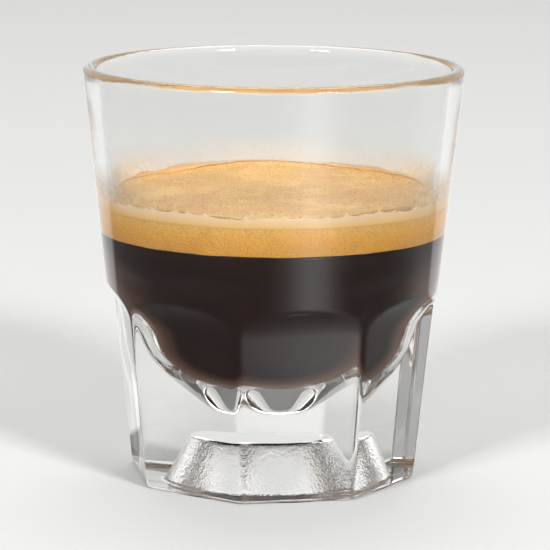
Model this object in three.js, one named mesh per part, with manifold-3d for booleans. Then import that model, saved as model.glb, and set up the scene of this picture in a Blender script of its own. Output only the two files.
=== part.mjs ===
// A short coffee under a thick crema, in a pressed tumbler with eight flat panels.
// Millimetres, +Z up. The origin is the centre of the foot, and one panel faces -Y.
import * as THREE from 'three';
import { mergeVertices } from 'three/addons/utils/BufferGeometryUtils.js';
import Module from 'manifold-3d';

const wasm = await Module();
wasm.setup();

// Outside of the glass: one cone from foot to rim, and its rounded edges
const glassHeight = 79.4;
const rimRadius = 36.5;
const footRadius = 28.1;
const footRounding = 1.2;
const lipRounding = 1.2;

// Panels: flats cut into the cone, each ending in a scooped shoulder
const panelCount = 8;
const panelTop = 32.0;
const scoopRadius = 7.9;
const arrisSpare = 0.15;
const panelFootEase = 0.9;

// Inside of the glass: floor, lower slope, upper slope and wall, with rounded corners
const floorHeight = 14.4;
const floorRadius = 4.6;
const floorRise = 0.2;
const floorRounding = 10.0;
const bowlRadius = 18.0;
const bowlHeight = 22.9;
const bowlRounding = 15.0;
const wallFootRadius = 29.5;
const wallFootHeight = 46.0;
const wallFootRounding = 28.0;
const mouthRadius = 33.95;

// Recess under the foot
const recessTop = 9.7;
const recessCrown = 0.5;
const recessTopRadius = 10.0;
const recessMouthRadius = 16.0;
const recessRounding = 1.5;

// Drink: coffee up to its level, crema on top of it, and the clearance round both
const coffeeLevel = 47.6;
const cremaLevel = 54.6;
const cremaClimb = 0.7;
const cremaClimbWidth = 2.4;
const cremaRipple = 0.28;
const cremaRings = 6;
const clearance = 0.3;

// Fineness of the facets
const turnSteps = 64;
const roundingSteps = 4;
const scoopSteps = 8;

const panelTurn = (2 * Math.PI) / panelCount;
const taper = (rimRadius - footRadius) / glassHeight;

function coneRadius(z) {
  return footRadius + taper * z;
}

// Distance from the axis to a panel's flat, leaving a narrow strip of cone at each arris
function panelDistance(z) {
  return Math.cos(panelTurn / 2) * coneRadius(z) + arrisSpare;
}

// Points along a chain of corners, each given as [radius, height, rounding]
function roundedOutline(corners) {
  const places = corners.map(([r, z]) => new THREE.Vector2(r, z));
  const points = [];
  corners.forEach(([, , rounding], i) => {
    const corner = places[i];
    if (!rounding) {
      points.push(corner);
      return;
    }
    const back = places[i - 1].clone().sub(corner).normalize();
    const ahead = places[i + 1].clone().sub(corner).normalize();
    const halfAngle = back.angleTo(ahead) / 2;
    const reach = rounding / Math.tan(halfAngle);
    const inward = back.clone().add(ahead).normalize();
    const centre = corner.clone().addScaledVector(inward, rounding / Math.sin(halfAngle));
    const first = corner.clone().addScaledVector(back, reach).sub(centre);
    const last = corner.clone().addScaledVector(ahead, reach).sub(centre);
    const sweep = Math.atan2(first.cross(last), first.dot(last));
    for (let k = 0; k <= roundingSteps; k += 1) {
      const spoke = first.clone().rotateAround(new THREE.Vector2(), (sweep * k) / roundingSteps);
      points.push(spoke.add(centre));
    }
  });
  return points;
}

// The outline moved to its left by a distance, which is inwards for the cavity read from its floor up
function movedInwards(outline, distance) {
  return outline.map((point, i) => {
    const before = outline[Math.max(i - 1, 0)];
    const after = outline[Math.min(i + 1, outline.length - 1)];
    const along = after.clone().sub(before).normalize();
    const moved = new THREE.Vector2(point.x - along.y * distance, point.y + along.x * distance);
    moved.x = i === 0 ? 0 : moved.x;
    return moved;
  });
}

function radiusAt(outline, z) {
  const i = outline.findIndex((point) => point.y > z);
  const [below, above] = [outline[i - 1], outline[i]];
  return THREE.MathUtils.mapLinear(z, below.y, above.y, below.x, above.x);
}

function turned(profile) {
  return new THREE.LatheGeometry(profile, turnSteps).rotateX(Math.PI / 2);
}

function toSolid(geometry) {
  const bare = geometry.clone();
  bare.deleteAttribute('normal');
  bare.deleteAttribute('uv');
  const merged = mergeVertices(bare, 1e-4);
  const index = merged.getIndex().array;
  const triangles = [];
  for (let i = 0; i < index.length; i += 3) {
    const [a, b, c] = [index[i], index[i + 1], index[i + 2]];
    if (a !== b && b !== c && c !== a) {
      triangles.push(a, b, c);
    }
  }
  const vertProperties = new Float32Array(merged.getAttribute('position').array);
  const triVerts = new Uint32Array(triangles);
  return new wasm.Manifold(new wasm.Mesh({ numProp: 3, vertProperties, triVerts }));
}

function toGeometry(solid) {
  const { vertProperties, triVerts } = solid.getMesh();
  const geometry = new THREE.BufferGeometry();
  geometry.setAttribute('position', new THREE.BufferAttribute(vertProperties, 3));
  geometry.setIndex(new THREE.BufferAttribute(triVerts, 1));
  geometry.computeVertexNormals();
  return geometry;
}

// The cavity, read from the middle of its floor up to the mouth
const cavityCorners = [
  [0, floorHeight],
  [floorRadius, floorHeight + floorRise, floorRounding],
  [bowlRadius, bowlHeight, bowlRounding],
  [wallFootRadius, wallFootHeight, wallFootRounding],
  [mouthRadius, glassHeight, lipRounding],
];

// The section of the glass, from the recess round the foot, wall and lip to the cavity's floor
function glassBlank() {
  const corners = [
    [0, recessTop + recessCrown],
    [recessTopRadius, recessTop, recessRounding],
    [recessMouthRadius, 0, recessRounding],
    [footRadius, 0, footRounding],
    [rimRadius, glassHeight, lipRounding],
    ...cavityCorners.toReversed(),
  ];
  return toSolid(turned(roundedOutline(corners)));
}

// What one panel takes away: everything beyond its flat, up the scoop and out past the wall
function panelCutter() {
  const lean = Math.atan(Math.cos(panelTurn / 2) * taper);
  const below = 2;
  const beyond = rimRadius + 2;
  const width = 2 * footRadius;
  const flatTop = new THREE.Vector2(panelDistance(panelTop), panelTop);
  const scoopX = flatTop.x + scoopRadius * Math.cos(lean);
  const scoopY = flatTop.y - scoopRadius * Math.sin(lean);
  const outline = new THREE.Shape();
  outline.moveTo(beyond, -below);
  outline.lineTo(beyond, scoopY + scoopRadius);
  outline.lineTo(scoopX, scoopY + scoopRadius);
  outline.absarc(scoopX, scoopY, scoopRadius, Math.PI / 2, Math.PI - lean, false);
  outline.lineTo(panelDistance(panelFootEase), panelFootEase);
  outline.lineTo(panelDistance(0) - panelFootEase - below, -below);
  const slab = new THREE.ExtrudeGeometry(outline, {
    depth: width,
    bevelEnabled: false,
    curveSegments: scoopSteps,
  });
  return slab.translate(0, 0, -width / 2).rotateX(Math.PI / 2);
}

function glassGeometry() {
  const cutter = panelCutter();
  let glass = glassBlank();
  for (let i = 0; i < panelCount; i += 1) {
    const turn = i * panelTurn - Math.PI / 2;
    glass = glass.subtract(toSolid(cutter.clone().rotateZ(turn)));
  }
  return toGeometry(glass);
}

function drinkWall() {
  return movedInwards(roundedOutline(cavityCorners.with(-1, [mouthRadius, glassHeight])), clearance);
}

function coffeeGeometry() {
  const wall = drinkWall();
  const sides = wall.filter((point) => point.y < coffeeLevel);
  const edge = new THREE.Vector2(radiusAt(wall, coffeeLevel), coffeeLevel);
  const middle = new THREE.Vector2(0, coffeeLevel);
  return toGeometry(toSolid(turned([...sides, edge, middle])));
}

// Height of the crema's top: it climbs a little at the wall and lies in soft swells elsewhere
function cremaSurface(r, edgeRadius, angle) {
  const climb = cremaClimb * Math.max(0, 1 - (edgeRadius - r) / cremaClimbWidth) ** 2;
  const reach = r / edgeRadius;
  const swell = Math.sin(3 * angle + 4 * reach) + Math.sin(5 * angle - 7 * reach + 1);
  return cremaLevel + climb + cremaRipple * reach * swell;
}

function cremaGeometry() {
  const wall = drinkWall();
  const underside = coffeeLevel + clearance;
  const lowEdge = new THREE.Vector2(radiusAt(wall, underside), underside);
  const edgeRadius = radiusAt(wall, cremaLevel);
  const sides = wall.filter((point) => point.y > underside && point.y < cremaLevel - 1);
  const profile = [new THREE.Vector2(0, underside), lowEdge, ...sides];
  for (let ring = cremaRings; ring >= 0; ring -= 1) {
    const r = edgeRadius * Math.sqrt(ring / cremaRings);
    profile.push(new THREE.Vector2(r, cremaLevel));
  }
  const geometry = turned(profile);
  const position = geometry.getAttribute('position');
  for (let i = 0; i < position.count; i += 1) {
    if (position.getZ(i) > cremaLevel - 0.5) {
      const r = Math.hypot(position.getX(i), position.getY(i));
      const angle = Math.atan2(position.getY(i), position.getX(i));
      position.setZ(i, cremaSurface(r, edgeRadius, angle));
    }
  }
  return toGeometry(toSolid(geometry));
}

function piece(name, geometry, look) {
  const mesh = new THREE.Mesh(geometry, new THREE.MeshStandardMaterial(look));
  mesh.name = name;
  return mesh;
}

const clearGlass = { color: 0xe6e6e2, roughness: 0.03, metalness: 0, transparent: true, opacity: 0.35 };
const darkCoffee = { color: 0x33241f, roughness: 0.15, metalness: 0 };
const goldenCrema = { color: 0xd9ab69, roughness: 0.6, metalness: 0 };

const filledGlass = new THREE.Group();
filledGlass.add(piece('glass', glassGeometry(), clearGlass));
filledGlass.add(piece('coffee', coffeeGeometry(), darkCoffee));
filledGlass.add(piece('crema', cremaGeometry(), goldenCrema));

export default filledGlass;
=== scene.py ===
import math
import random

import bmesh
import bpy
import numpy as np
from mathutils import Matrix, Vector, noise


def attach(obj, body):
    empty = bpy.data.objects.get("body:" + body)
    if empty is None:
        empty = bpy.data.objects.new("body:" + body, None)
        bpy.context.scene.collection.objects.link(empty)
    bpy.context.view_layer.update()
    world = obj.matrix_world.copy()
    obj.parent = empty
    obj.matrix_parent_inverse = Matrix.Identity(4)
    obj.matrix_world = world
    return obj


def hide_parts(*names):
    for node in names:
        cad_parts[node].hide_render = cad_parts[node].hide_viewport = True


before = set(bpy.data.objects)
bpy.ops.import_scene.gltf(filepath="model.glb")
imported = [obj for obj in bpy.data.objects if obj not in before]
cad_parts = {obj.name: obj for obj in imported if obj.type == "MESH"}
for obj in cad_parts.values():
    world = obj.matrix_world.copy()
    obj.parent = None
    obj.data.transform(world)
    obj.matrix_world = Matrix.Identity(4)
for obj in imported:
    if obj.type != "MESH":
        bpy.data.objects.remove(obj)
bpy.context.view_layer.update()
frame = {"nodes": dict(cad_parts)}
scene = bpy.context.scene
mm = 0.001               # sizes below are in millimetres, meshes in metres
print("frame loaded:", ", ".join(frame["nodes"]))


# Shader wires: a socket that can be added, multiplied and so on
class Wire:
    def __init__(self, look, socket):
        self.look = look
        self.socket = socket

    def maths(self, operation, first, second=0.0):
        return self.look.node("ShaderNodeMath", {"operation": operation}, {0: first, 1: second})

    def __add__(self, other):
        return self.maths("ADD", self, other)

    def __radd__(self, other):
        return self.maths("ADD", other, self)

    def __sub__(self, other):
        return self.maths("SUBTRACT", self, other)

    def __rsub__(self, other):
        return self.maths("SUBTRACT", other, self)

    def __mul__(self, other):
        return self.maths("MULTIPLY", self, other)

    def __rmul__(self, other):
        return self.maths("MULTIPLY", other, self)

    def step(self, low, high):
        settings = {"interpolation_type": "SMOOTHSTEP"}
        return self.look.node("ShaderNodeMapRange", settings, {0: self, 1: low, 2: high})


# One node tree, of a material or of the world
class Look:
    def __init__(self, owner):
        owner.use_nodes = True
        self.tree = owner.node_tree
        self.tree.nodes.clear()

    def node(self, kind, settings, inputs, output=0):
        made = self.tree.nodes.new(kind)
        for name, setting in settings.items():
            if name == "stops":
                self.setStops(made.color_ramp, setting)
            else:
                setattr(made, name, setting)
        for name, given in inputs.items():
            if isinstance(given, Wire):
                self.tree.links.new(given.socket, made.inputs[name])
            else:
                made.inputs[name].default_value = given
        return Wire(self, made.outputs[output])

    def setStops(self, ramp, stops):
        while len(ramp.elements) < len(stops):
            ramp.elements.new(1.0)
        for element, (place, colour) in zip(ramp.elements, stops):
            element.position = place
            element.color = (*colour, 1.0)

    def place(self):
        return self.node("ShaderNodeTexCoord", {}, {}, "Object")

    def grain(self, place, size, detail=2.0, roughness=0.5):
        inputs = {"Vector": place, "Scale": 1.0 / (size * mm), "Detail": detail, "Roughness": roughness}
        return self.node("ShaderNodeTexNoise", {}, inputs, "Fac")

    def cells(self, place, size):
        inputs = {"Vector": place, "Scale": 1.0 / (size * mm)}
        return self.node("ShaderNodeTexVoronoi", {"feature": "F1"}, inputs, "Distance")

    def axis(self, place, index):
        return self.node("ShaderNodeSeparateXYZ", {}, {0: place}, index)

    def along(self, place, direction):
        inputs = {0: place, 1: direction}
        return self.node("ShaderNodeVectorMath", {"operation": "DOT_PRODUCT"}, inputs, "Value")

    def mixed(self, factor, first, second, blend="MIX"):
        settings = {"data_type": "RGBA", "blend_type": blend}
        return self.node("ShaderNodeMix", settings, {0: factor, 6: first, 7: second}, 2)

    def between(self, factor, tones):
        return self.mixed(factor, colour(*tones[0]), colour(*tones[1]))

    def bump(self, height, depth, strength):
        inputs = {"Height": height, "Distance": depth * mm, "Strength": strength}
        return self.node("ShaderNodeBump", {}, inputs)

    def surface(self, shader):
        return self.node("ShaderNodeBsdfPrincipled", {}, shader)


def newMaterial(name):
    material = bpy.data.materials.new(name)
    return material, Look(material)


def shown(look, shader):
    output = look.tree.nodes.new("ShaderNodeOutputMaterial")
    look.tree.links.new(shader.socket, output.inputs["Surface"])


def colour(red, green, blue):
    return (red, green, blue, 1.0)


# Meshes from a turned outline
def roundedOutline(corners, arcSteps=10):
    places = [Vector((r, z)) for r, z, rounding in corners]
    points = []
    for i, (r, z, rounding) in enumerate(corners):
        corner = places[i]
        if not rounding:
            points.append(corner)
            continue
        back = (places[i - 1] - corner).normalized()
        ahead = (places[i + 1] - corner).normalized()
        halfAngle = back.angle(ahead) / 2
        centre = corner + (back + ahead).normalized() * rounding / math.sin(halfAngle)
        first = corner + back * rounding / math.tan(halfAngle) - centre
        last = corner + ahead * rounding / math.tan(halfAngle) - centre
        for k in range(arcSteps + 1):
            points.append(centre + first.lerp(last, k / arcSteps).normalized() * rounding)
    return points


def filledOut(outline, spacing):
    points = [outline[0]]
    for start, end in zip(outline, outline[1:]):
        pieces = max(1, math.ceil((end - start).length / spacing((start + end) / 2)))
        points += [start.lerp(end, k / pieces) for k in range(1, pieces + 1)]
    return points


def radiusAt(outline, z):
    for low, high in zip(outline, outline[1:]):
        if low.y <= z <= high.y:
            return low.x + (high.x - low.x) * (z - low.y) / max(high.y - low.y, 1e-9)
    return outline[-1].x


# One sector is spun, then copied round and merged
def spun(outline, steps, sectors=8):
    bm = bmesh.new()
    verts = [bm.verts.new((point.x * mm, 0, point.y * mm)) for point in outline]
    edges = [bm.edges.new(pair) for pair in zip(verts, verts[1:])]
    sweep = 2 * math.pi / sectors
    bmesh.ops.spin(bm, geom=verts + edges, cent=(0, 0, 0), axis=(0, 0, 1), dvec=(0, 0, 0),
                   angle=sweep, steps=steps // sectors)
    sector = bm.verts[:] + bm.edges[:] + bm.faces[:]
    for i in range(1, sectors):
        copied = bmesh.ops.duplicate(bm, geom=sector)["geom"]
        moved = [element for element in copied if isinstance(element, bmesh.types.BMVert)]
        bmesh.ops.rotate(bm, verts=moved, cent=(0, 0, 0), matrix=Matrix.Rotation(i * sweep, 3, "Z"))
    bmesh.ops.remove_doubles(bm, verts=bm.verts, dist=0.0002 * mm)
    bmesh.ops.recalc_face_normals(bm, faces=bm.faces)
    return bm


# Radius, angle from -Y towards +X, and height of a point in millimetres
def turnedPlace(co):
    return math.hypot(co.x, co.y) / mm, math.atan2(co.x, -co.y), co.z / mm


def placed(r, angle, z):
    return Vector((r * math.sin(angle), -r * math.cos(angle), z)) * mm


# A piece of the object, shaded smooth, riding on the one body
def finished(bm, name, materials):
    for face in bm.faces:
        face.smooth = True
    mesh = bpy.data.meshes.new(name)
    bm.to_mesh(mesh)
    bm.free()
    for material in materials:
        mesh.materials.append(material)
    piece = bpy.data.objects.new(name, mesh)
    scene.collection.objects.link(piece)
    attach(piece, "root")
    print("made", name, "with", len(mesh.polygons), "faces")
    return piece


# Studio: pale floor, bright surround behind, dimmer in front, and soft lights
studio = {
    "floorSize": 9.0, "floorTone": (0.57, 0.57, 0.563), "floorGrain": 40.0,
    "behind": 0.86, "inFront": 0.45, "behindEdge": (0.52, 0.66), "lightDistance": 2000.0,
    "lights": [                              # name, azimuth, elevation, size in metres, power
        ("back softbox", 180, 60, 1.5, 17.0),
        ("left softbox", -33, 30, 0.4, 30.0),
        ("right softbox", 33, 30, 0.4, 36.0),
    ],
    "cameraTurn": -10.3, "cameraRise": 10.38, "cameraDistance": 596.0, "cameraRoll": 0.39,
    "focusHeight": 40.0, "aimAcross": 0.48, "aimHeight": 38.68, "pixelsPerTurn": 3090.0, "imageWidth": 550,
    "sensorWidth": 36.0,
}


# A place round the object, with the azimuth counted from the camera
def fromCamera(azimuth, elevation, distance):
    turn = math.radians(studio["cameraTurn"] + azimuth)
    rise = math.radians(elevation)
    return placed(distance * math.cos(rise), turn, distance * math.sin(rise))


# Glass: sizes are the CAD's own, and the fine relief is added here
glass = {
    "height": 79.4, "rimRadius": 36.5, "footRadius": 28.1, "footRounding": 1.2, "lipRounding": 1.2,
    "panels": 8, "panelTop": 32.0, "scoopRadius": 7.9, "arrisSharpness": 140.0, "scoopSoftness": 0.5,
    "floorHeight": 14.4, "floorRadius": 4.6, "floorRise": 0.2, "floorRounding": 10.0,
    "bowlRadius": 18.0, "bowlHeight": 22.9, "bowlRounding": 15.0,
    "wallFootRadius": 29.5, "wallFootHeight": 46.0, "wallFootRounding": 28.0, "mouthRadius": 33.95,
    "recessTop": 9.7, "recessCrown": 0.5, "recessTopRadius": 10.0, "recessMouthRadius": 16.0,
    "recessRounding": 1.5, "recessReach": 1.2,
    "stippleSize": 0.7, "stippleDepth": 0.042, "waveSize": 4.0, "waveDepth": 0.05,
    "turnSteps": 320, "arrisCrowding": 0.75,
    "index": 1.51, "tint": (0.955, 0.955, 0.945), "recessTint": (0.985, 0.985, 0.98),
    "wallWaveSize": 14.0, "lipWaveSize": 1.2, "lipWave": (76.8, 78.6), "waveBump": 0.12, "markSize": 9.0,
    "grainSize": 0.55, "fineGrainSize": 0.3, "grainBump": 0.08,
}
panelTurn = 2 * math.pi / glass["panels"]
taper = (glass["rimRadius"] - glass["footRadius"]) / glass["height"]
scoopZone = (glass["panelTop"] - 1, glass["panelTop"] + glass["scoopRadius"] + 1)

cavityCorners = [
    (0, glass["floorHeight"], 0),
    (glass["floorRadius"], glass["floorHeight"] + glass["floorRise"], glass["floorRounding"]),
    (glass["bowlRadius"], glass["bowlHeight"], glass["bowlRounding"]),
    (glass["wallFootRadius"], glass["wallFootHeight"], glass["wallFootRounding"]),
    (glass["mouthRadius"], glass["height"], 0),
]
cavity = roundedOutline(cavityCorners)


def coneRadius(z):
    return glass["footRadius"] + taper * z


def glassOutline():
    mouth = (glass["mouthRadius"], glass["height"], glass["lipRounding"])
    corners = [
        (0, glass["recessTop"] + glass["recessCrown"], 0),
        (glass["recessTopRadius"], glass["recessTop"], glass["recessRounding"]),
        (glass["recessMouthRadius"], 0, glass["recessRounding"]),
        (glass["footRadius"], 0, glass["footRounding"]),
        (coneRadius(scoopZone[0]), scoopZone[0], 0),
        (coneRadius(scoopZone[1]), scoopZone[1], 0),
        (glass["rimRadius"], glass["height"], glass["lipRounding"]),
        mouth,
        *reversed(cavityCorners[:-1]),
    ]
    return roundedOutline(corners)


def glassSpacing(point):
    if point.x < glass["recessMouthRadius"] + 1 and point.y < glass["recessTop"] + 1:
        return 0.3
    nearScoop = scoopZone[0] < point.y < scoopZone[1]
    return 0.35 if nearScoop and point.x > coneRadius(point.y) - 1 else 1.5


# Distance from the axis to a panel: flat to its top, then out along the scoop
def panelDistance(z):
    flat = math.cos(panelTurn / 2) * coneRadius(z)
    above = max(0.0, z - glass["panelTop"])
    scoop = glass["scoopRadius"]
    if above >= 0.98 * scoop:
        return flat + 2 * scoop
    return flat + scoop - math.sqrt(scoop ** 2 - above ** 2)


# Radius of the panelled outside, with a small rounding along each arris and round each arch
def pressedRadius(angle, z):
    distance = panelDistance(z)
    sharpness = glass["arrisSharpness"]
    fromPanel = (angle + panelTurn / 2) % panelTurn - panelTurn / 2
    sides = [math.cos(fromPanel + turn) / distance for turn in (-panelTurn, 0, panelTurn)]
    flat = sum(side ** sharpness for side in sides) ** (-1 / sharpness)
    cone = coneRadius(z)
    near = max(glass["scoopSoftness"] - abs(cone - flat), 0) / glass["scoopSoftness"]
    return min(cone, flat) - near ** 2 * glass["scoopSoftness"] / 4


def stippled(co, r):
    depth = glass["stippleDepth"] * noise.noise(co / (glass["stippleSize"] * mm))
    depth += glass["waveDepth"] * noise.noise(co / (glass["waveSize"] * mm))
    return co * (1 + depth / max(r, 1))


def makeGlass():
    bm = spun(filledOut(glassOutline(), glassSpacing), glass["turnSteps"])
    for vert in bm.verts:
        r, angle, z = turnedPlace(vert.co)
        if r < 1e-6:
            continue
        # vertices crowd towards the arrises, half a panel away from each panel's middle
        angle += glass["arrisCrowding"] / glass["panels"] * math.sin(glass["panels"] * angle)
        if z < scoopZone[1] and r > glass["recessMouthRadius"] + 1.5 and abs(r - coneRadius(z)) < 2:
            r *= pressedRadius(angle, z) / coneRadius(z)
        vert.co = placed(r, angle, z)
        if r < glass["recessMouthRadius"] + glass["recessReach"] and z < glass["recessTop"] + 1:
            moved = stippled(vert.co, r)
            vert.co = Vector((moved.x, moved.y, max(0.0, vert.co.z)))
    for face in bm.faces:
        r, angle, z = turnedPlace(face.calc_center_median())
        inRecess = r < glass["recessMouthRadius"] + 0.5 and z < glass["recessTop"] - 0.3
        face.material_index = 1 if inRecess else 0
    piece = finished(bm, "panelled_tumbler", [clearGlassLook(), stippledGlassLook()])
    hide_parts("glass")
    return piece


# Clear pressed glass, with faint waviness, an uneven lip and the handling marks of a used tumbler
def clearGlassLook():
    material, look = newMaterial("clear pressed glass")
    place = look.place()
    height = look.axis(place, 2)
    low, high = glass["lipWave"]
    wave = look.grain(place, glass["wallWaveSize"], 1.0)
    level = look.node("ShaderNodeMapping", {}, {"Vector": place, "Scale": (0.35, 0.35, 3.0)})
    lipWave = look.grain(level, glass["lipWaveSize"], 3.0) * height.step(low * mm, high * mm)
    marks = look.grain(place, glass["markSize"], 4.0).step(0.52, 0.75)
    shown(look, look.surface({
        "Base Color": colour(*glass["tint"]),
        "Roughness": marks * 0.012,
        "IOR": glass["index"],
        "Transmission Weight": 1.0,
        "Normal": look.bump(wave + lipWave * 0.8, glass["waveBump"], 0.5),
    }))
    return material


# The wall of the recess, grainy from the mould
def stippledGlassLook():
    material, look = newMaterial("stippled recess glass")
    place = look.place()
    grains = look.cells(place, glass["grainSize"])
    fine = look.grain(place, glass["fineGrainSize"], 2.0)
    shown(look, look.surface({
        "Base Color": colour(*glass["recessTint"]),
        "Roughness": 0.22 + 0.2 * fine,
        "IOR": glass["index"],
        "Transmission Weight": 1.0,
        "Normal": look.bump(grains + fine * 0.5, glass["grainBump"], 0.8),
    }))
    return material


# Coffee: fills the bowl and reaches a hair into its wall
coffee = {
    "level": 47.75, "intoWall": 0.03, "wallSpacing": 1.0, "turnSteps": 192, "index": 1.335, "cloudSize": 7.0,
    "dark": [(0.014, 0.005, 0.0035), (0.020, 0.008, 0.005)],
    # The second pair of browns is a painted edge glow, laid on where the coffee turns edge-on to the view
    "paintedEdgeGlow": [(0.22, 0.105, 0.06), (0.30, 0.15, 0.085)], "paintedGlowFacing": (0.30, 0.56), "paintedGlowShare": 0.8,
    "mirror": (0.97, 0.97, 0.96),
}


# The outline moved out by a distance, which is into the glass
def grown(outline, distance):
    points = []
    for i, point in enumerate(outline):
        along = outline[min(i + 1, len(outline) - 1)] - outline[max(i - 1, 0)]
        out = Vector((along.y, -along.x)).normalized()
        moved = point + out * distance
        points.append(Vector((0.0 if i == 0 else moved.x, moved.y)))
    return points


drinkWall = grown(filledOut(cavity, lambda point: coffee["wallSpacing"]), coffee["intoWall"])


def makeCoffee():
    level = coffee["level"]
    sides = [point for point in drinkWall if point.y < level - 0.05]
    edge = Vector((radiusAt(drinkWall, level), level))
    middle = [Vector((edge.x * share, level)) for share in (0.66, 0.33, 0.0)]
    bm = spun(sides + [edge] + middle, coffee["turnSteps"])
    piece = finished(bm, "coffee_body", [coffeeLook()])
    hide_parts("coffee")
    return piece


# Dark brown with a painted edge glow, a lighter brown painted on where the surface turns edge-on to the
# view, and a mirror where glass meets it at a low angle
def coffeeLook():
    material, look = newMaterial("dark coffee")
    place = look.place()
    clouds = look.grain(place, coffee["cloudSize"], 3.0)
    brown = look.surface({
        "Base Color": look.between(clouds, coffee["dark"]),
        "Roughness": 0.6,
        "Specular IOR Level": 0.0,
    })
    # Lighter brown surface for the painted edge glow
    paintedEdgeGlow = look.surface({
        "Base Color": look.between(clouds, coffee["paintedEdgeGlow"]),
        "Roughness": 0.5,
        "Specular IOR Level": 0.0,
    })
    # Painted edge glow: the lighter brown is mixed in as the surface turns edge-on to the view
    facing = look.node("ShaderNodeLayerWeight", {}, {"Blend": 0.5}, "Facing")
    paintedGlowAmount = facing.step(*coffee["paintedGlowFacing"]) * coffee["paintedGlowShare"]
    withPaintedGlow = look.node("ShaderNodeMixShader", {}, {0: paintedGlowAmount, 1: brown, 2: paintedEdgeGlow})
    mirror = look.node("ShaderNodeBsdfGlossy", {}, {"Color": colour(*coffee["mirror"]), "Roughness": 0.0})
    grazing = look.node("ShaderNodeFresnel", {}, {"IOR": coffee["index"] / glass["index"]})
    shown(look, look.node("ShaderNodeMixShader", {}, {0: grazing, 1: withPaintedGlow, 2: mirror}))
    return material


# Crema: a thick foam layer with a bubbly top
crema = {
    "underside": 47.7, "undersideWave": 0.12, "undersideWaveSize": 6.0, "wallLean": 0.13,
    "level": 54.6, "climb": 0.7, "climbWidth": 2.4, "ripple": 0.28, "rings": 64, "turnSteps": 384,
    "swellSize": 5.0, "swellDepth": 0.16, "lumpSize": 1.6, "lumpDepth": 0.07,
    "stops": [                               # up the side, with the top of the foam last
        (0.0, (0.80, 0.395, 0.066)), (0.45, (0.93, 0.49, 0.100)),
        (0.92, (0.97, 0.64, 0.23)), (0.98, (0.75, 0.425, 0.14)),
    ],
    "top": 55.4, "cloudSize": 4.0, "cloudTone": (0.76, 0.44, 0.13),
    "poreSize": 0.62, "poreTone": (0.30, 0.14, 0.03),
    "fleckSize": 0.45, "fleckTones": [(0.86, 0.84, 0.80), (1.1, 1.12, 1.16)], "fleckEdge": (53.4, 54.4),
    "marbleSize": 9.0, "marbleTone": (0.58, 0.28, 0.07), "foamSize": 0.5, "foamBump": 0.2,
}


def cremaHeight(r, angle):
    edge = radiusAt(drinkWall, crema["level"])
    reach = min(r / edge, 1.0)
    climb = crema["climb"] * max(0.0, 1 - (edge - r) / crema["climbWidth"]) ** 2
    turn = angle - math.pi / 2               # the CAD counts this angle from +X
    swell = math.sin(3 * turn + 4 * reach) + math.sin(5 * turn - 7 * reach + 1)
    height = crema["level"] + climb + crema["ripple"] * reach * swell
    spot = placed(r, angle, 0)
    height += crema["swellDepth"] * noise.noise(spot / (crema["swellSize"] * mm))
    return height + crema["lumpDepth"] * noise.noise(spot / (crema["lumpSize"] * mm))


def makeCrema():
    edge = radiusAt(drinkWall, crema["level"])
    sides = [point for point in drinkWall if crema["underside"] + 0.2 < point.y < crema["level"] - 0.6]
    low = Vector((radiusAt(drinkWall, crema["underside"]), crema["underside"]))
    under = [Vector((low.x * share, low.y)) for share in (0.0, 0.33, 0.66, 1.0)]
    top = [Vector((edge * ring / crema["rings"], crema["level"])) for ring in range(crema["rings"], -1, -1)]
    bm = spun(under + sides + top, crema["turnSteps"])
    for vert in bm.verts:
        r, angle, z = turnedPlace(vert.co)
        if z > crema["level"] - 0.01:
            z = cremaHeight(r, angle)
            vert.co = placed(min(r, edge + (z - crema["level"]) * crema["wallLean"]), angle, z)
        elif z < crema["underside"] + 0.01:
            wave = noise.noise(placed(r, angle, 0) / (crema["undersideWaveSize"] * mm))
            vert.co.z += crema["undersideWave"] * wave * mm
    piece = finished(bm, "crema_layer", [cremaLook()])
    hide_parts("crema")
    return piece


# Golden foam: deeper at its foot, pale at its upper edge, marbled and pricked with small pores
def cremaLook():
    material, look = newMaterial("golden crema")
    place = look.place()
    height = look.axis(place, 2)
    clouds = look.grain(place, crema["cloudSize"], 4.0, 0.6)
    rise = height.step(crema["underside"] * mm, crema["top"] * mm) + (clouds - 0.5) * 0.12
    gold = look.node("ShaderNodeValToRGB", {"stops": crema["stops"]}, {0: rise})
    mottled = look.mixed(clouds.step(0.42, 0.72) * 0.5, gold, colour(*crema["cloudTone"]))
    flecks = look.between(look.grain(place, crema["fleckSize"], 2.0).step(0.3, 0.7), crema["fleckTones"])
    low, high = crema["fleckEdge"]
    onTop = height.step(low * mm, high * mm) * 0.8 + 0.2
    flecked = look.mixed(onTop, mottled, look.mixed(1.0, mottled, flecks, "MULTIPLY"))
    swirls = look.grain(place, crema["marbleSize"], 3.0, 0.6).step(0.5, 0.72)
    marbled = look.mixed(swirls * 0.35, flecked, colour(*crema["marbleTone"]))
    pores = 1 - look.cells(place, crema["poreSize"]).step(0.12, 0.27)
    pricked = look.mixed(pores * 0.42, marbled, colour(*crema["poreTone"]))
    foam = look.cells(place, crema["foamSize"]) + look.grain(place, crema["foamSize"] * 0.7, 2.0) * 0.6
    shown(look, look.surface({
        "Base Color": pricked,
        "Roughness": 0.65 - 0.2 * clouds,
        "Specular IOR Level": 0.25,
        "Subsurface Weight": 0.2,
        "Subsurface Radius": (0.0010, 0.0006, 0.0003),
        "Subsurface Scale": 1.0,
        "Normal": look.bump(foam, crema["foamBump"], 0.8),
    }))
    return material


wallRadius = 32                              # about, where the foam clings


# How far round the wall a point is, from -1 nearest the camera to 1 at the back
def towardsBack(look, place):
    back = fromCamera(180, 0, 1000).normalized() / (wallRadius * mm)
    return look.along(place, back)


# Slow noise round the wall, with swells of the given size
def wallNoise(angle, size):
    return noise.noise(placed(30, angle, 0) / (size * mm))


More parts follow.
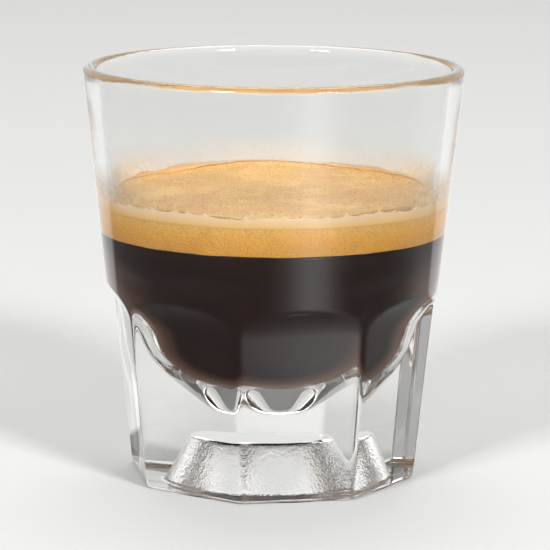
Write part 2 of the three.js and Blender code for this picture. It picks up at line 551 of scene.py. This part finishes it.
# Film of foam that clings to the wall above the crema, with a scalloped upper edge
film = {
    "foot": 52.9, "reach": 55.2, "backReach": 0.7, "scallop": 1.3, "backCalm": 0.8, "unevenness": 0.7,
    "unevenSize": 8.0, "thickness": 0.22, "edgeThickness": 0.06, "offWall": -0.01,
    "drips": 56, "turnSteps": 960, "rows": 5, "seed": 5,
    "cream": [(0.95, 0.60, 0.20), (1.0, 0.75, 0.47)], "gold": [(0.66, 0.34, 0.09), (0.72, 0.42, 0.15)],
    "pale": (53.0, 55.1), "backFade": (54.9, 56.3), "cloudSize": 1.6, "foamSize": 0.6, "foamBump": 0.05,
}


def dripAngles():
    draw = random.Random(film["seed"])
    step = 2 * math.pi / film["drips"]
    angles = [step * (i + draw.uniform(-0.45, 0.45)) for i in range(film["drips"])]
    heights = [draw.uniform(0.2, 1.0) for i in range(film["drips"])]
    return angles, heights


# Height of the film's upper edge: it hangs in arcs between the drips, calmer at the back
def filmReach(angle, angles, heights):
    turn = angle % (2 * math.pi)
    ahead = next((i for i, drip in enumerate(angles) if drip > turn), 0)
    start, end = angles[ahead - 1], angles[ahead]
    span = (end - start) % (2 * math.pi)
    share = ((turn - start) % (2 * math.pi)) / span
    hang = 1 - math.sqrt(max(0.0, 1 - (2 * share - 1) ** 2))
    tall = heights[ahead - 1] * (1 - share) + heights[ahead] * share
    behind = (1 - math.cos(angle - math.radians(studio["cameraTurn"]))) / 2
    reach = film["reach"] + film["backReach"] * behind ** 2
    scallop = film["scallop"] * (1 - film["backCalm"] * behind)
    return reach + scallop * hang * tall + film["unevenness"] * wallNoise(angle, film["unevenSize"])


# A slim closed ring on the wall: its rows run from its foot up to a reach that depends on the angle
def wallRing(shape, reach):
    outer, inner = 40, 30                    # marks that tell the two faces apart until they are placed
    rows = shape["rows"]
    outside = [Vector((outer, row / rows)) for row in range(rows + 1)]
    inside = [Vector((inner, row / rows)) for row in range(rows, -1, -1)]
    bm = spun(outside + inside + outside[:1], shape["turnSteps"])
    for vert in bm.verts:
        r, angle, share = turnedPlace(vert.co)
        z = shape["foot"] + (reach(angle) - shape["foot"]) * share
        wall = radiusAt(drinkWall, z) - shape["offWall"]
        depth = shape["thickness"] + (shape["edgeThickness"] - shape["thickness"]) * share
        vert.co = placed(wall if r > (outer + inner) / 2 else wall - depth, angle, z)
    return bm


def makeFilm():
    angles, heights = dripAngles()
    bm = wallRing(film, lambda angle: filmReach(angle, angles, heights))
    return finished(bm, "crema_film", [filmLook()])


# Cream in front, gold and fading upwards at the back
def filmLook():
    material, look = newMaterial("clinging crema film")
    place = look.place()
    height = look.axis(place, 2)
    low, high = film["pale"]
    rise = height.step(low * mm, high * mm)
    rise = rise + (look.grain(place, film["cloudSize"], 3.0) - 0.5) * rise * 0.6
    behind = towardsBack(look, place).step(-0.5, 0.4)
    cream = look.between(rise, film["cream"])
    gold = look.between(rise, film["gold"])
    low, high = film["backFade"]
    shown(look, look.surface({
        "Base Color": look.mixed(behind, cream, gold),
        "Roughness": 0.45,
        "Alpha": 1 - behind * height.step(low * mm, high * mm),
        "Normal": look.bump(look.cells(place, film["foamSize"]), film["foamBump"], 0.5),
    }))
    return material


# Haze of dried foam left on the wall above the film, heaviest at the sides
haze = {
    "foot": 54.2, "fadeFrom": 55.0, "fadeTo": 62.5, "reach": 63.0, "unevenness": 1.5, "unevenSize": 9.0,
    "thickness": 0.06, "edgeThickness": 0.05, "offWall": 0.0, "rows": 14, "turnSteps": 320,
    "front": 0.04, "sides": 0.8, "back": 0.2, "streakSize": 0.8,
    "tones": [(0.88, 0.76, 0.58), (0.92, 0.70, 0.42)],
}


def hazeReach(angle):
    return haze["reach"] + haze["unevenness"] * wallNoise(angle, haze["unevenSize"])


def makeHaze():
    return finished(wallRing(haze, hazeReach), "wall_haze", [hazeLook()])


def hazeLook():
    material, look = newMaterial("wall haze")
    place = look.place()
    fade = 1 - look.axis(place, 2).step(haze["fadeFrom"] * mm, haze["fadeTo"] * mm)
    along = towardsBack(look, place)
    share = along.step(-0.92, -0.2) * (haze["sides"] - haze["front"]) + haze["front"]
    share = share - along.step(0.0, 0.8) * (haze["sides"] - haze["back"])
    tall = look.node("ShaderNodeMapping", {}, {"Vector": place, "Scale": (1.0, 1.0, 0.7)})
    streaks = look.grain(tall, haze["streakSize"], 4.0).step(0.25, 0.75)
    shown(look, look.surface({
        "Base Color": look.between(fade, haze["tones"]),
        "Roughness": 0.6,
        "Specular IOR Level": 0.1,
        "Alpha": fade * share * (streaks * 0.35 + 0.65),
    }))
    return material


# Bubbles standing in the top of the crema, larger along the wall
bubbles = {
    "count": 1500, "small": 0.16, "large": 0.42, "edgeShare": 0.3, "edgeBand": 2.0, "edgeGap": 0.6,
    "sink": 0.35, "seed": 11, "tones": [(0.62, 0.33, 0.10), (0.78, 0.48, 0.18)], "toneSize": 2.5,
}


def bubbleShape():
    bm = bmesh.new()
    bmesh.ops.create_icosphere(bm, subdivisions=1, radius=1.0)
    corners = np.array([vert.co for vert in bm.verts])
    faces = np.array([[vert.index for vert in face.verts] for face in bm.faces])
    bm.free()
    return corners, faces


def makeBubbles():
    draw = random.Random(bubbles["seed"])
    edge = radiusAt(drinkWall, crema["level"]) - bubbles["edgeGap"]
    corners, faces = bubbleShape()
    points, sides = [], []
    for i in range(bubbles["count"]):
        atEdge = draw.random() < bubbles["edgeShare"]
        r = edge - draw.random() * bubbles["edgeBand"] if atEdge else edge * math.sqrt(draw.random())
        angle = draw.uniform(0, 2 * math.pi)
        size = bubbles["small"] + (bubbles["large"] - bubbles["small"]) * draw.random() ** 3
        place = placed(r, angle, cremaHeight(r, angle) - size * bubbles["sink"])
        points.append(corners * size * mm + np.array(place))
        sides.append(faces + i * len(corners))
    mesh = bpy.data.meshes.new("crema_bubbles")
    mesh.from_pydata(np.concatenate(points), [], np.concatenate(sides))
    bm = bmesh.new()
    bm.from_mesh(mesh)
    return finished(bm, "crema_bubbles", [bubbleLook()])


def bubbleLook():
    material, look = newMaterial("crema bubbles")
    place = look.place()
    tone = look.grain(place, bubbles["toneSize"], 2.0)
    shown(look, look.surface({
        "Base Color": look.between(tone, bubbles["tones"]),
        "Roughness": 0.25,
        "Normal": look.bump(look.grain(place, 0.2, 2.0), 0.02, 0.5),
    }))
    return material


def makeFloor():
    bm = bmesh.new()
    bmesh.ops.create_grid(bm, x_segments=8, y_segments=8, size=studio["floorSize"] / 2)
    mesh = bpy.data.meshes.new("studio_floor")
    bm.to_mesh(mesh)
    bm.free()
    material, look = newMaterial("pale studio floor")
    grain = look.grain(look.place(), studio["floorGrain"], 3.0)
    low = colour(*(tone * 0.985 for tone in studio["floorTone"]))
    shown(look, look.surface({
        "Base Color": look.mixed(grain, low, colour(*studio["floorTone"])),
        "Roughness": 0.9,
        "Specular IOR Level": 0.0,
    }))
    mesh.materials.append(material)
    floor = bpy.data.objects.new("studio_floor", mesh)
    scene.collection.objects.link(floor)


# A card round the foot that only reflections see: dark in front, bright behind and at the front right
card = {
    "inner": 30.0, "outer": 900.0, "height": 0.4, "turnSteps": 96, "dark": 0.25,
    "glows": [(24, 14, 1.6), (110, 20, 0.35)],     # azimuth from the camera, width and strength
    "glowFrom": (25.0, 95.0), "behindFrom": 127, "behindSoft": 3, "behind": 1.1,
}


def makeCard():
    radii = (card["inner"], card["outer"])
    bm = spun([Vector((radius, card["height"])) for radius in radii], card["turnSteps"])
    mesh = bpy.data.meshes.new("reflection_card")
    bm.to_mesh(mesh)
    bm.free()
    material, look = newMaterial("reflection card")
    place = look.place()
    turned = {"rotation_type": "Z_AXIS"}
    angle = math.radians(-studio["cameraTurn"])
    level = look.node("ShaderNodeVectorRotate", turned, {"Vector": place, "Angle": angle})
    across = look.axis(level, 0)
    ahead = look.axis(level, 1)
    turn = across.maths("ARCTAN2", across, 0 - ahead) * (180 / math.pi)
    glow = 0.0
    for centre, width, strength in card["glows"]:
        near = (turn - centre) * (1 / width)
        glow = near.maths("EXPONENT", 0 - near * near) * strength + glow
    fromFront = turn.maths("ABSOLUTE", turn)
    back = fromFront.step(card["behindFrom"] - card["behindSoft"], card["behindFrom"] + card["behindSoft"])
    reach = look.node("ShaderNodeVectorMath", {"operation": "LENGTH"}, {0: place}, "Value")
    glow = glow * reach.step(card["glowFrom"][0] * mm, card["glowFrom"][1] * mm)
    strength = glow + back * (card["behind"] - card["dark"]) + card["dark"]
    shown(look, look.node("ShaderNodeEmission", {}, {"Color": strength, "Strength": 1.0}))
    mesh.materials.append(material)
    piece = bpy.data.objects.new("reflection_card", mesh)
    for kind in ("camera", "diffuse", "transmission", "shadow", "volume_scatter"):
        setattr(piece, "visible_" + kind, False)
    scene.collection.objects.link(piece)


def makeSurround():
    world = bpy.data.worlds.new("studio surround")
    scene.world = world
    look = Look(world)
    direction = look.node("ShaderNodeTexCoord", {}, {}, "Generated")
    back = fromCamera(180, 0, 1000)
    share = look.along(direction, back).step(*studio["behindEdge"])
    strength = share * (studio["behind"] - studio["inFront"]) + studio["inFront"]
    sky = look.node("ShaderNodeBackground", {}, {"Color": strength, "Strength": 1.0})
    output = look.tree.nodes.new("ShaderNodeOutputWorld")
    look.tree.links.new(sky.socket, output.inputs["Surface"])


def areaLight(name, place, target, size, power):
    data = bpy.data.lights.new(name, "AREA")
    data.shape = "SQUARE"
    data.size = size
    data.energy = power
    light = bpy.data.objects.new(name, data)
    light.location = place
    light.rotation_euler = (target - place).to_track_quat("-Z", "Y").to_euler()
    light.visible_camera = False
    scene.collection.objects.link(light)


def makeLights():
    middle = Vector((0, 0, studio["focusHeight"] * mm))
    for name, azimuth, elevation, size, power in studio["lights"]:
        areaLight(name, fromCamera(azimuth, elevation, studio["lightDistance"]), middle, size, power)


def makeCamera():
    rise = math.radians(studio["cameraRise"])
    distance = studio["cameraDistance"]
    place = Vector((0, -distance * math.cos(rise), studio["focusHeight"] + distance * math.sin(rise))) * mm
    aim = Vector((studio["aimAcross"], 0, studio["aimHeight"])) * mm
    turn = Matrix.Rotation(math.radians(studio["cameraTurn"]), 4, "Z")
    looking = (aim - place).to_track_quat("-Z", "Y").to_matrix().to_4x4()
    roll = Matrix.Rotation(math.radians(studio["cameraRoll"]), 4, "Z")
    data = bpy.data.cameras.new("photo camera")
    data.sensor_width = studio["sensorWidth"]
    data.lens = data.sensor_width * studio["pixelsPerTurn"] / studio["imageWidth"]
    data.clip_start = 0.01
    camera = bpy.data.objects.new("photo camera", data)
    camera.matrix_world = turn @ Matrix.Translation(place) @ looking @ roll
    scene.collection.objects.link(camera)
    scene.camera = camera


makeCamera()
makeGlass()
makeCoffee()
makeCrema()
makeFilm()
makeHaze()
makeBubbles()
makeFloor()
makeCard()
makeSurround()
makeLights()
scene.view_settings.view_transform = "Standard"
scene.cycles.max_bounces = 24
scene.cycles.transmission_bounces = 24
scene.cycles.glossy_bounces = 16
scene.cycles.sample_clamp_indirect = 6.0
print("studio set up")
